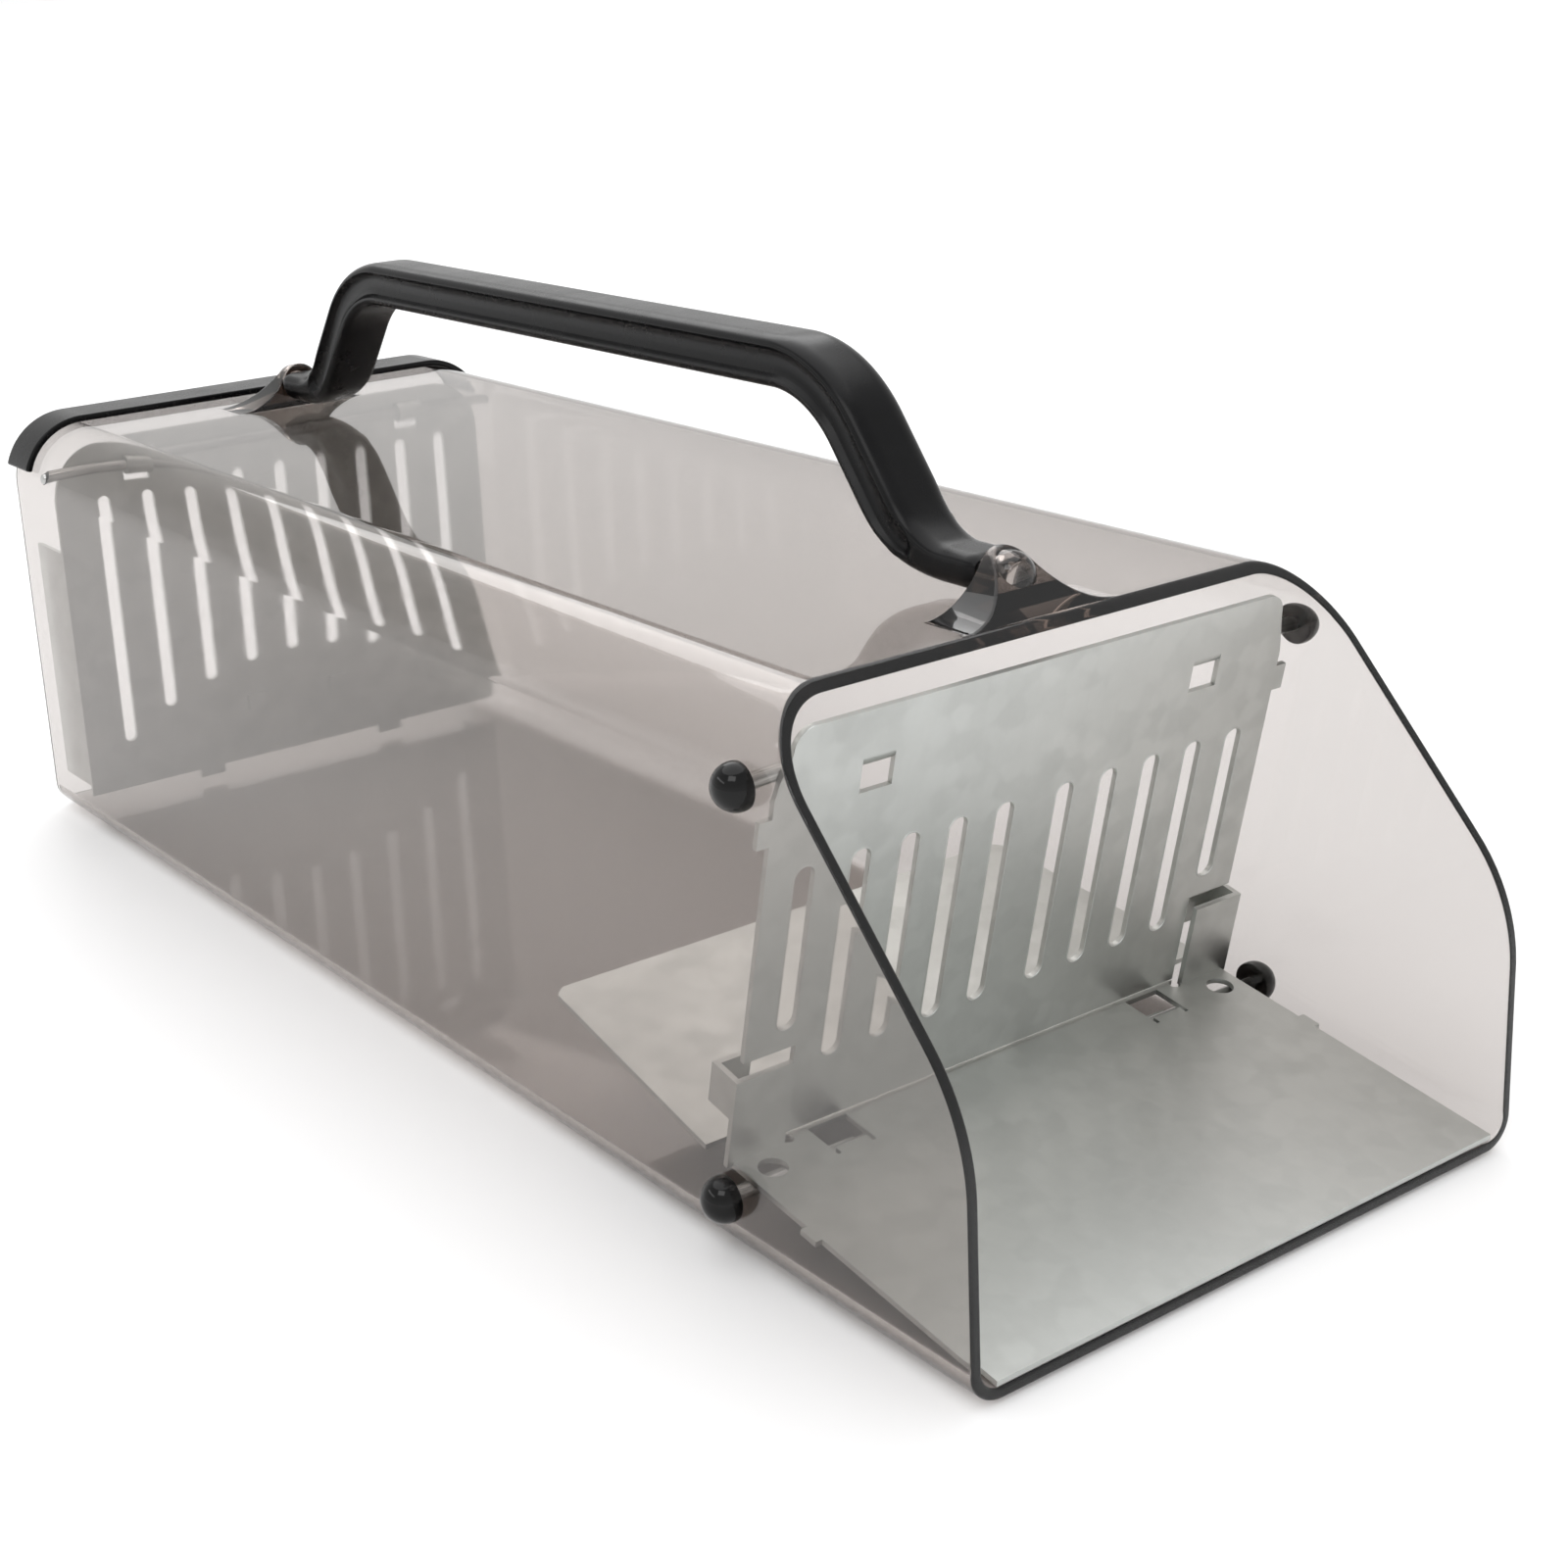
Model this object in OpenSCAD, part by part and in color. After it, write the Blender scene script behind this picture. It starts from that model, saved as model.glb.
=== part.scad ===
// Tunnel-shaped live-catch mouse trap: a clear tube with a hanging front door,
// a see-saw treadle that the door rests on, a hinged rear door and a carrying bail.
// Lengths below are measured from the front face of the tube, heights from the table.

/* [Housing] */
// Length of the clear tube
body_l = 268; // [240:1:300]
// Outside width of the tube
body_w = 95; // [95:0.5:110]
// Outside height of the tube
body_h = 75; // [75:0.5:85]
// Wall thickness of the tube
wall = 1.5; // [1.4:0.1:1.6]
// Outside radius of the top corners
top_r = 11; // [9:0.5:12]
// Outside radius of the bottom corners
bottom_r = 4.5; // [4:0.1:5]
// Height where the front edge starts to slope back
sill_h = 35; // [32:0.5:36]
// Distance from the front face to the roof's front edge
roof_front = 38; // [37:0.5:40]

/* [Front door] */
// Rest angle of the door, bottom edge rearwards
door_lean = 13.5; // [13:0.1:13.8]
// Distance of the door axle from the front face
door_axle_y = 38.7; // [38.4:0.1:39]
// Height of the door axle
door_axle_z = 64.3; // [64.2:0.1:64.6]
// Sheet thickness of door, treadle and rear door
sheet = 0.8; // [0.6:0.1:0.8]

/* [Treadle] */
// Rest slope of the treadle, front edge down
treadle_slope = 9.3; // [9:0.1:9.3]
// Distance of the treadle axle from the front face
treadle_axle_y = 45.4; // [45.2:0.1:45.6]
// Height of the treadle axle
treadle_axle_z = 8; // [8:0.1:8.2]

/* [Handle] */
// Width of the bail's bar
bail_w = 9.4; // [8.4:0.1:9.4]
// Height of the bail's bar section
bail_t = 7.2; // [6.4:0.1:7.2]
// Height of the bar's centre line
bail_z = 101.9; // [98:0.1:110]
// Height of the bail's pivot line
pivot_z = 79.1; // [79.1:0.1:79.4]

/* [Wires and caps] */
// Radius of the axle wires
wire_r = 1; // [0.9:0.05:1]
// Radius of the domed axle caps
cap_r = 3.1; // [2.9:0.1:3.4]

/* [Hidden] */
$fn = 64;
eps = 0.01;
fit_gap = 0.05;

// Tube profile
half_w = body_w / 2;
inner_hw = half_w - wall;
inner_top_r = top_r - wall;
inner_bottom_r = bottom_r - wall;
bend_r = 24;
front_slant = atan(roof_front / (body_h - sill_h));
bend_t = bend_r * tan(front_slant / 2);

// Rear top rail
rail_front = 259.5;
rail_rear = 269.2;
rail_t = 1.3;
rail_z = 67.5;
part_l = rail_rear;

// Handle lugs
lug_front = roof_front;
lug_rear = 46.9;
lug_base_hw = 13;
lug_top_r = 3.7;
lug_lip = 0.1;
lug_rise = pivot_z - body_h - lug_lip;
lug_flare_r = (pow(lug_base_hw, 2) + pow(lug_rise, 2) - pow(lug_top_r, 2)) / (2 * (lug_rise + lug_top_r));
lug_flare_z = body_h + lug_lip + lug_flare_r;
flare_end = -180 + atan((lug_flare_z - pivot_z) / lug_base_hw);
dome_start = atan((lug_flare_z - pivot_z) / lug_base_hw);
lug_set = 0.05;
arc_n = 12;
boss_r = 3.3;
boss_y = 44.4;
pin_r = 1.7;
socket_r = pin_r + fit_gap;
pin_tip_y = 43.6;
socket_tip_y = 43.2;

// Handle path
swing = 50;
bail_front = 47.2;
bail_rear = 242;
bail_mid = (bail_front + bail_rear) / 2;
leg_angle = 52;
upper_r = 20;
lower_r = 15;
foot_l = 6.3;
foot_r = 3.8;
foot_hw = foot_r / sin(swing);
bend_start = bail_front + foot_l;
leg_run = (bail_z - pivot_z - (upper_r + lower_r) * (1 - cos(leg_angle))) / sin(leg_angle);
bar_start = bend_start + (upper_r + lower_r) * sin(leg_angle) + leg_run * cos(leg_angle);
channel_h = 3.2;
channel_d = 0.9;
channel_first = 3;

// Front door outline, s measured down the sheet from the foot of the axle
sheet_off = 1.45;
door_top = 6.6;
door_top_hw = 41.6;
door_upper_hw = 42.9;
door_ear_hw = 44.8;
door_side_end = 40.4;
door_centre_hw = 34.8;
door_end = 54.36;
slot_pitch = 7.9;
slot_first = 5.2;
slot_w = 3.1;
slot_top = 13.2;
slot_end = 44;
slot_end_outer = 37.3;
window_in = 25.6;
window_out = 30.7;
knuckle_r = 1.85;
knuckle_bore = 1.05;
lug_l = 3.6;
hook_gap = 0.95;

// Treadle outline, measured from the foot of the axle
treadle_front = 45.6;
treadle_rear = 49.7;
treadle_rear_hw = 41.2;
treadle_wide_hw = 44.3;
treadle_front_hw = 43.7;
treadle_ear_hw = 44.7;
notch_hw = 35;
notch_front = 3.95;
notch_rear = 8.5;
hole_r = 2;
hole_x = 40;
bracket_in = 35.6;
bracket_out = 44.6;
bracket_foot_y = 48.97;
bracket_foot_z = 10;
bracket_h = 13.2;
bracket_depth = 4.5;
tab_share = 0.45;
hook_in = 39;

// Rear door
rear_axle_y = 254;
rear_axle_z = 66.7;
rear_sheet_y = rear_axle_y + sheet_off;
rear_hw = 44;
rear_bottom = 4.4;
rear_top = 71;
rear_corner_r = 9.5;
rear_slot_pitch = 8.8;
rear_slot_w = 2.4;
rear_slot_top = 61;
rear_slot_mid = 24.5;
rear_arch_r = 61.8;
rear_foot_x = 19.5;
rear_foot_w = 5;
rear_foot_z = 2.75;
rear_flange_l = 12;
rear_flange_top = 52;
rear_pad_x = 8.8;
rear_pad_z = 15.7;
rear_pad_rise = 0.6;

// Caps
cap_seat = half_w + fit_gap;
cap_centre = half_w + 0.8;
wire_hw = half_w + 1.4;
cap_bore_end = half_w + 1.5;

// Moves the front-measured layout so that the part is centred on its length
module centred() {
  translate([0, -part_l / 2, 0]) children();
}

// Extrudes an X-Z outline along Y from y0 to y1
module along_y(y0, y1) {
  translate([0, y1, 0]) rotate([90, 0, 0]) linear_extrude(y1 - y0) children();
}

// Extrudes a Y-Z outline along X, centred
module along_x(w) {
  translate([-w / 2, 0, 0]) rotate([90, 0, 90]) linear_extrude(w) children();
}

// Shared tube outline with large top and small bottom corners
module tube_outline(hw, z0, z1, rt, rb) {
  translate([-hw, z0 + rb]) square([2 * hw, z1 - z0 - rb - rt]);
  translate([rt - hw, z1 - rt - eps]) square([2 * (hw - rt), rt + eps]);
  translate([rb - hw, z0]) square([2 * (hw - rb), rb + eps]);
  for (s = [-1, 1]) {
    translate([s * (hw - rt), z1 - rt]) circle(rt);
    translate([s * (hw - rb), z0 + rb]) circle(rb);
  }
}

module outer_outline(grow = 0) {
  tube_outline(half_w + grow, -grow, body_h + grow, top_r + grow, bottom_r + grow);
}

module inner_outline() {
  tube_outline(inner_hw, wall, body_h - wall, inner_top_r, inner_bottom_r);
}

// Side view of the tube with the rounded, sloping front edge
module side_outline() {
  polygon([[0, 0], [body_l, 0], [body_l, body_h], [roof_front, body_h],
           [bend_t * sin(front_slant), sill_h + bend_t * cos(front_slant)],
           [bend_r, sill_h - bend_t], [0, sill_h - bend_t]]);
  translate([bend_r, sill_h - bend_t]) circle(bend_r, $fn = 128);
}

// Right half of a lug in front view: concave flare, then the dome
function lug_side() = concat(
  [for (i = [0:arc_n]) let (a = -90 + (flare_end + 90) * i / arc_n)
    [lug_base_hw + lug_flare_r * cos(a), lug_flare_z + lug_flare_r * sin(a)]],
  [for (i = [1:arc_n]) let (a = dome_start + (90 - dome_start) * i / arc_n)
    [lug_top_r * cos(a), pivot_z + lug_top_r * sin(a)]]);

// Front view of a handle lug, rooted in the roof
module lug_outline() {
  side = lug_side();
  last = len(side) - 1;
  polygon(concat([[lug_base_hw, body_h - wall / 2]], side,
                 [for (i = [last - 1:-1:0]) [-side[i][0], side[i][1]]],
                 [[-lug_base_hw, body_h - wall / 2]]));
}

// Lug at the front of the roof, its front face in line with the sloping edge
module lug() {
  intersection() {
    along_y(lug_front - 1, lug_rear) lug_outline();
    along_x(4 * lug_base_hw)
      polygon([[lug_front + lug_set, body_h - wall], [lug_rear + 1, body_h - wall],
               [lug_rear + 1, 2 * body_h], [lug_front + lug_set + body_h * tan(front_slant), 2 * body_h],
               [lug_front + lug_set, body_h]]);
  }
  translate([0, 0, pivot_z]) rotate([-90, 0, 0]) rotate_extrude()
    polygon(concat([[0, lug_rear], [boss_r, lug_rear]], [for (i = [0:arc_n]) let (a = 90 * i / arc_n)
      [boss_r * cos(a), boss_y - boss_r * sin(a)]]));
}

module lug_socket() {
  translate([0, socket_tip_y, pivot_z]) rotate([-90, 0, 0]) cylinder(r = socket_r, h = 6);
}

module rear_mirrored() {
  translate([0, 2 * bail_mid, 0]) mirror([0, 1, 0]) children();
}

// Cylinder along X centred on an axle line
module axle_bar(y, z, r, w) {
  translate([-w / 2, y, z]) rotate([0, 90, 0]) cylinder(r = r, h = w);
}

// Clear tube with both handle lugs and the axle holes
module housing() {
  color([0.6, 0.57, 0.55, 0.45]) centred() difference() {
    union() {
      intersection() {
        along_y(0, body_l) difference() {
          outer_outline();
          inner_outline();
        }
        along_x(body_w + 2) side_outline();
      }
      lug();
      rear_mirrored() lug();
    }
    lug_socket();
    rear_mirrored() lug_socket();
    axle_bar(door_axle_y, door_axle_z, wire_r + fit_gap, body_w + 2);
    axle_bar(treadle_axle_y, treadle_axle_z, wire_r + fit_gap, body_w + 2);
    axle_bar(rear_axle_y, rear_axle_z, wire_r + fit_gap, body_w + 2);
  }
}

// Centre line of the front half of the bail as [y, z, heading] from foot to bar
function bail_centres(first) = concat(
  [for (i = [first:arc_n]) let (a = leg_angle * i / arc_n)
    [bend_start + lower_r * sin(a), pivot_z + lower_r * (1 - cos(a)), a]],
  [for (i = [arc_n:-1:0]) let (a = leg_angle * i / arc_n)
    [bar_start - upper_r * sin(a), bail_z - upper_r * (1 - cos(a)), a]]);

// Points of the bail's side view at one side of the centre line
function bail_edge(centres, off) =
  [for (c = centres) [c[0] - off * sin(c[2]), c[1] + off * cos(c[2])]];

// Whole bail, or its channel, in side view
module bail_outline(t, first) {
  centres = concat(first == 0 ? [[bail_front, pivot_z, 0]] : [], bail_centres(first));
  top = bail_edge(centres, t / 2);
  low = bail_edge(centres, -t / 2);
  last = len(centres) - 1;
  polygon(concat(top, [for (i = [last:-1:0]) [2 * bail_mid - top[i][0], top[i][1]]],
                 [for (i = [0:last]) [2 * bail_mid - low[i][0], low[i][1]]],
                 [for (i = [last:-1:0]) low[i]]));
}

// Lower half of the foot's section, which clears the roof through the whole swing
module foot_section() {
  polygon(concat([[foot_hw, 1], [foot_hw, 0]], [for (i = [0:arc_n]) let (a = swing - 90 - 2 * swing * i / arc_n)
    [foot_r * cos(a), foot_r * sin(a)]], [[-foot_hw, 0], [-foot_hw, 1]]));
}

// Bail with side channels and a moulded pivot pin at each end
module handle() {
  color([0.08, 0.08, 0.08]) centred() {
    difference() {
      along_x(bail_w) bail_outline(bail_t, 0);
      for (s = [-1, 1])
        translate([s * bail_w / 2, 0, 0]) along_x(2 * channel_d) bail_outline(channel_h, channel_first);
      difference() {
        translate([-bail_w, bail_front - 1, pivot_z - bail_w])
          cube([2 * bail_w, bail_rear - bail_front + 2, bail_w]);
        along_y(bail_front - 2, bail_rear + 2) translate([0, pivot_z]) foot_section();
      }
    }
    for (flip = [0, 1]) bail_side(flip)
      translate([0, pin_tip_y, pivot_z]) rotate([-90, 0, 0])
        cylinder(r = pin_r, h = bail_front - pin_tip_y + 1);
  }
}

module bail_side(flip) {
  if (flip == 0) children();
  else rear_mirrored() children();
}

// Round-ended slot in an X-Z sheet outline
module slot(x, z0, z1, w) {
  translate([x - w / 2, z0 + w / 2]) square([w, z1 - z0 - w]);
  translate([x, z0 + w / 2]) circle(d = w, $fn = 32);
  translate([x, z1 - w / 2]) circle(d = w, $fn = 32);
}

// Front door sheet seen from the front, z zero at the foot of the axle
module door_outline() {
  difference() {
    union() {
      translate([-door_top_hw + 3, 0]) square([2 * (door_top_hw - 3), door_top]);
      for (s = [-1, 1]) translate([s * (door_top_hw - 3), door_top - 3]) circle(3);
      polygon([[-door_top_hw, door_top - 3], [door_top_hw, door_top - 3], [door_upper_hw, -2.6],
               [-door_upper_hw, -2.6]]);
      translate([-door_upper_hw, -door_side_end]) square([2 * door_upper_hw, door_side_end - 2.5]);
      translate([-door_ear_hw, -8.7]) square([2 * door_ear_hw, 3.8]);
      translate([-door_centre_hw, -door_end]) square([2 * door_centre_hw, door_end]);
    }
    for (s = [-1, 1], i = [0:3]) slot(s * (slot_first + i * slot_pitch), -slot_end, -slot_top, slot_w);
    for (s = [-1, 1]) {
      slot(s * (slot_first + 4 * slot_pitch), -slot_end_outer, -slot_top, slot_w);
      translate([s > 0 ? window_in : -window_out, -4.9]) square([window_out - window_in, 7.1]);
    }
  }
}

// Pair of lugs curled round an axle wire, joined to a sheet off_y away from it
module knuckle(off_y) {
  for (s = [-1, 1]) translate([s > 0 ? window_in : -window_out, 0, 0]) {
    difference() {
      union() {
        rotate([0, 90, 0]) cylinder(r = knuckle_r, h = window_out - window_in, $fn = 48);
        translate([0, off_y - sheet / 2, 0]) cube([window_out - window_in, sheet, lug_l]);
      }
      translate([-1, 0, 0]) rotate([0, 90, 0])
        cylinder(r = knuckle_bore, h = window_out - window_in + 2, $fn = 48);
    }
  }
}

// Hanging front door with ten slots and two curled lugs
module front_door() {
  color([0.7, 0.71, 0.7]) centred() translate([0, door_axle_y, door_axle_z])
    rotate([door_lean, 0, 0]) {
      along_y(-sheet_off - sheet / 2, -sheet_off + sheet / 2) door_outline();
      knuckle(-sheet_off);
    }
}

// Treadle sheet seen from above, y zero at the foot of the axle
module treadle_outline() {
  difference() {
    union() {
      translate([-treadle_front_hw, -treadle_front])
        square([2 * treadle_front_hw, treadle_front + notch_front]);
      translate([-treadle_ear_hw, -14.8]) square([2 * treadle_ear_hw, 3]);
      translate([-notch_hw, 0]) square([2 * notch_hw, notch_rear + 1]);
      polygon([[-treadle_wide_hw, notch_rear], [treadle_wide_hw, notch_rear],
               [treadle_rear_hw, treadle_rear - 1.5], [treadle_rear_hw - 1.5, treadle_rear],
               [1.5 - treadle_rear_hw, treadle_rear], [-treadle_rear_hw, treadle_rear - 1.5]]);
    }
    for (s = [-1, 1]) {
      translate([s > 0 ? window_in - 0.6 : -window_out - 0.6, -2.2])
        square([window_out - window_in + 1.2, 6.4]);
      translate([s * hole_x, 0]) circle(hole_r);
      translate([s * (bracket_in - 0.9), notch_front]) circle(0.9, $fn = 32);
    }
  }
}

// Upright folded bracket at one side of the treadle
module bracket(s) {
  translate([0, bracket_foot_y, bracket_foot_z]) rotate([door_lean, 0, 0]) {
    x0 = s > 0 ? bracket_in : -bracket_out;
    w = bracket_out - bracket_in;
    tab_z = bracket_h * (1 - tab_share);
    tab_h = bracket_h * tab_share;
    translate([x0, -sheet / 2, 0]) cube([w, sheet, bracket_h]);
    translate([s > 0 ? bracket_out - sheet : -bracket_out, -sheet / 2, tab_z])
      cube([sheet, bracket_depth + sheet, tab_h]);
    translate([s > 0 ? hook_in : -bracket_out, bracket_depth - sheet / 2, tab_z])
      cube([bracket_out - hook_in, sheet, tab_h]);
  }
}

// See-saw treadle: ramp, lugs hooked round the wire and the two folded brackets
module treadle() {
  color([0.7, 0.71, 0.7]) centred() {
    translate([0, treadle_axle_y, treadle_axle_z]) rotate([treadle_slope, 0, 0]) {
      translate([0, 0, sheet_off - sheet / 2]) linear_extrude(sheet) treadle_outline();
      difference() {
        rotate([90, 0, 0]) knuckle(sheet_off);
        for (s = [-1, 1]) translate([s > 0 ? window_in - 0.3 : -window_out - 0.3, -hook_gap, 0])
          cube([window_out - window_in + 0.6, 2 * knuckle_r, 2 * knuckle_r]);
      }
    }
    for (s = [-1, 1]) bracket(s);
  }
}

module axle_wire(y, z) {
  color([0.78, 0.78, 0.78]) centred() axle_bar(y, z, wire_r, 2 * wire_hw);
}

module door_axle() {
  axle_wire(door_axle_y, door_axle_z);
}

module treadle_axle() {
  axle_wire(treadle_axle_y, treadle_axle_z);
}

module rear_axle() {
  color([0.78, 0.78, 0.78]) centred() axle_bar(rear_axle_y, rear_axle_z, wire_r, body_w);
}

// Domed cap pushed over a wire end, flat side on the tube wall
module axle_cap(s, y, z) {
  color([0.06, 0.06, 0.06]) centred() translate([0, y, z]) rotate([0, s * 90, 0]) rotate_extrude()
    difference() {
      translate([0, cap_centre]) circle(cap_r);
      translate([-2 * cap_r, 0]) square([2 * cap_r, body_w]);
      square([2 * cap_r, cap_seat]);
      square([wire_r + fit_gap, cap_bore_end]);
    }
}

module door_axle_cap_left() {
  axle_cap(-1, door_axle_y, door_axle_z);
}

module door_axle_cap_right() {
  axle_cap(1, door_axle_y, door_axle_z);
}

module treadle_axle_cap_left() {
  axle_cap(-1, treadle_axle_y, treadle_axle_z);
}

module treadle_axle_cap_right() {
  axle_cap(1, treadle_axle_y, treadle_axle_z);
}

// Rear door sheet with its arched row of slots
module rear_outline() {
  difference() {
    union() {
      translate([-rear_hw, rear_bottom]) square([2 * rear_hw, rear_top - rear_corner_r - rear_bottom]);
      translate([rear_corner_r - rear_hw, rear_bottom])
        square([2 * (rear_hw - rear_corner_r), rear_top - rear_bottom]);
      for (s = [-1, 1]) {
        translate([s * (rear_hw - rear_corner_r), rear_top - rear_corner_r]) circle(rear_corner_r);
        translate([s * rear_foot_x - rear_foot_w / 2, rear_foot_z])
          square([rear_foot_w, rear_bottom - rear_foot_z + 1]);
      }
    }
    for (i = [-4:4])
      slot(i * rear_slot_pitch,
           rear_slot_mid - rear_arch_r + sqrt(pow(rear_arch_r, 2) - pow(i * rear_slot_pitch, 2)),
           rear_slot_top, rear_slot_w);
    for (s = [-1, 1]) translate([s > 0 ? window_in : -window_out, rear_axle_z - 3.3])
      square([window_out - window_in, 5.5]);
  }
}

// Rear release door, hinged on the wire near the roof
module rear_door() {
  color([0.68, 0.69, 0.68]) centred() {
    along_y(rear_sheet_y - sheet / 2, rear_sheet_y + sheet / 2) rear_outline();
    translate([0, rear_axle_y, rear_axle_z]) knuckle(sheet_off);
    for (s = [-1, 1]) {
      translate([s > 0 ? rear_hw - sheet : -rear_hw, rear_sheet_y, rear_bottom + 2])
        cube([sheet, rear_flange_l, rear_flange_top - rear_bottom - 2]);
      translate([s * rear_pad_x - 2, rear_sheet_y - sheet / 2 - rear_pad_rise, rear_pad_z - 1.5])
        cube([4, sheet / 2 + rear_pad_rise, 3]);
    }
  }
}

// Black trim over the rear edge of the roof
module rear_top_rail() {
  color([0.06, 0.06, 0.06]) centred() intersection() {
    union() {
      along_y(rail_front, rail_rear) difference() {
        outer_outline(rail_t);
        outer_outline(fit_gap);
      }
      along_y(body_l + fit_gap, rail_rear) difference() {
        outer_outline(rail_t);
        inner_outline();
      }
    }
    translate([-body_w, 0, rail_z]) cube([2 * body_w, 2 * body_l, body_h]);
  }
}

housing();
handle();
front_door();
door_axle();
door_axle_cap_left();
door_axle_cap_right();
treadle();
treadle_axle();
treadle_axle_cap_left();
treadle_axle_cap_right();
rear_door();
rear_axle();
rear_top_rail();
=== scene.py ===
"""Looks of a live-catch tunnel mouse trap: smoky clear tube, galvanised doors and treadle, black bail."""
import logging
import math
from dataclasses import dataclass
from enum import Enum
from typing import Iterable, Sequence

import bmesh
import bpy
from mathutils import Matrix, Vector


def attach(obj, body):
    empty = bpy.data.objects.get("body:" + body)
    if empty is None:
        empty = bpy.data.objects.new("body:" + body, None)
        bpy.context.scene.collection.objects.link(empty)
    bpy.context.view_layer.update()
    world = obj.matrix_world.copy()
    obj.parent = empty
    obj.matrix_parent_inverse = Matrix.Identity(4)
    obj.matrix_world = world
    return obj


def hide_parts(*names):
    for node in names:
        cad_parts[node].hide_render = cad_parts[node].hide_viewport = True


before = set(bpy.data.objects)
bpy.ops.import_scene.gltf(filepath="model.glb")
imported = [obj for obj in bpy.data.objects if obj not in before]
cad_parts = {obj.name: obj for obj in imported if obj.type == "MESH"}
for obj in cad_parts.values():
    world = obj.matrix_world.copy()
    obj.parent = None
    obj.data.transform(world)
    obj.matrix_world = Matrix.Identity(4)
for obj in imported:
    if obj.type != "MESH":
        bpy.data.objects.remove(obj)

LOG = logging.getLogger("trap")
MM = 0.001
HALF_LENGTH = 134.6  # the frame's origin lies this far behind the front face, in mm
FLAT_FACE_WEIGHT = 85  # how strongly large faces keep their own normals, of 100
SLOT_FIRST, SLOT_PITCH, OUTER_SLOT_END = 5.2, 7.9, -37.3  # slots of the front door, in mm

Point = tuple[float, float, float]


class Body(Enum):
    """Rigid bodies of the trap, by their names in the frame."""

    HOUSING = "housing"
    HANDLE = "handle"
    FRONT_DOOR = "front_door"
    TREADLE = "treadle"
    REAR_DOOR = "rear_door"


class Slot(Enum):
    """Names of the material slots."""

    CLEAR = "clear_plastic"
    BLACK = "black_plastic"
    CAP = "black_cap"
    SHEET = "zinc_sheet"
    WIRE = "steel_wire"


def linear(code: str, alpha: float = 1.0) -> tuple[float, float, float, float]:
    """Turns an sRGB hex colour into linear RGBA.

    Args:
        code: Six hex digits after a hash sign.
        alpha: Alpha to append.

    Returns:
        Linear red, green, blue and alpha.
    """
    parts = [int(code[i:i + 2], 16) / 255 for i in (1, 3, 5)]
    r, g, b = (p / 12.92 if p <= 0.04045 else ((p + 0.055) / 1.055) ** 2.4 for p in parts)
    return (r, g, b, alpha)


def world_point(x: float, y: float, z: float) -> Vector:
    """Turns millimetres measured from the front face into the frame's metres."""
    return Vector((x, y - HALF_LENGTH, z)) * MM


def add_node(tree: bpy.types.NodeTree, kind: str, settings: dict | None = None,
             links: dict | None = None) -> bpy.types.Node:
    """Adds a node, sets its properties and inputs, and links its inputs.

    Args:
        tree: Node tree to add to.
        kind: Node type identifier.
        settings: Property names, or input names prefixed by "in:", with their values.
        links: Input names or indices with the output sockets that feed them.

    Returns:
        The new node.
    """
    node = tree.nodes.new(kind)
    for name, value in (settings or {}).items():
        if name.startswith("in:"):
            key = name[3:]
            node.inputs[int(key) if key.isdigit() else key].default_value = value
        else:
            setattr(node, name, value)
    for name, source in (links or {}).items():
        tree.links.new(source, node.inputs[name])
    return node


def new_material(name: str) -> tuple[bpy.types.Material, bpy.types.NodeTree, bpy.types.Node]:
    """Makes an empty node material.

    Args:
        name: Name of the material.

    Returns:
        The material, its tree and its output node.
    """
    material = bpy.data.materials.new(name)
    material.use_nodes = True
    tree = material.node_tree
    tree.nodes.clear()
    return material, tree, add_node(tree, "ShaderNodeOutputMaterial")


def ramp(tree: bpy.types.NodeTree, factor: bpy.types.NodeSocket,
         stops: Sequence[tuple[float, tuple]]) -> bpy.types.NodeSocket:
    """Adds a colour ramp.

    Args:
        tree: Node tree to add to.
        factor: Socket that drives the ramp.
        stops: Positions with their linear colours.

    Returns:
        The ramp's colour output.
    """
    node = add_node(tree, "ShaderNodeValToRGB", links={"Fac": factor})
    elements = node.color_ramp.elements
    while len(elements) < len(stops):
        elements.new(1.0)
    for element, (position, colour) in zip(elements, stops):
        element.position = position
        element.color = colour
    return node.outputs["Color"]


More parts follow.
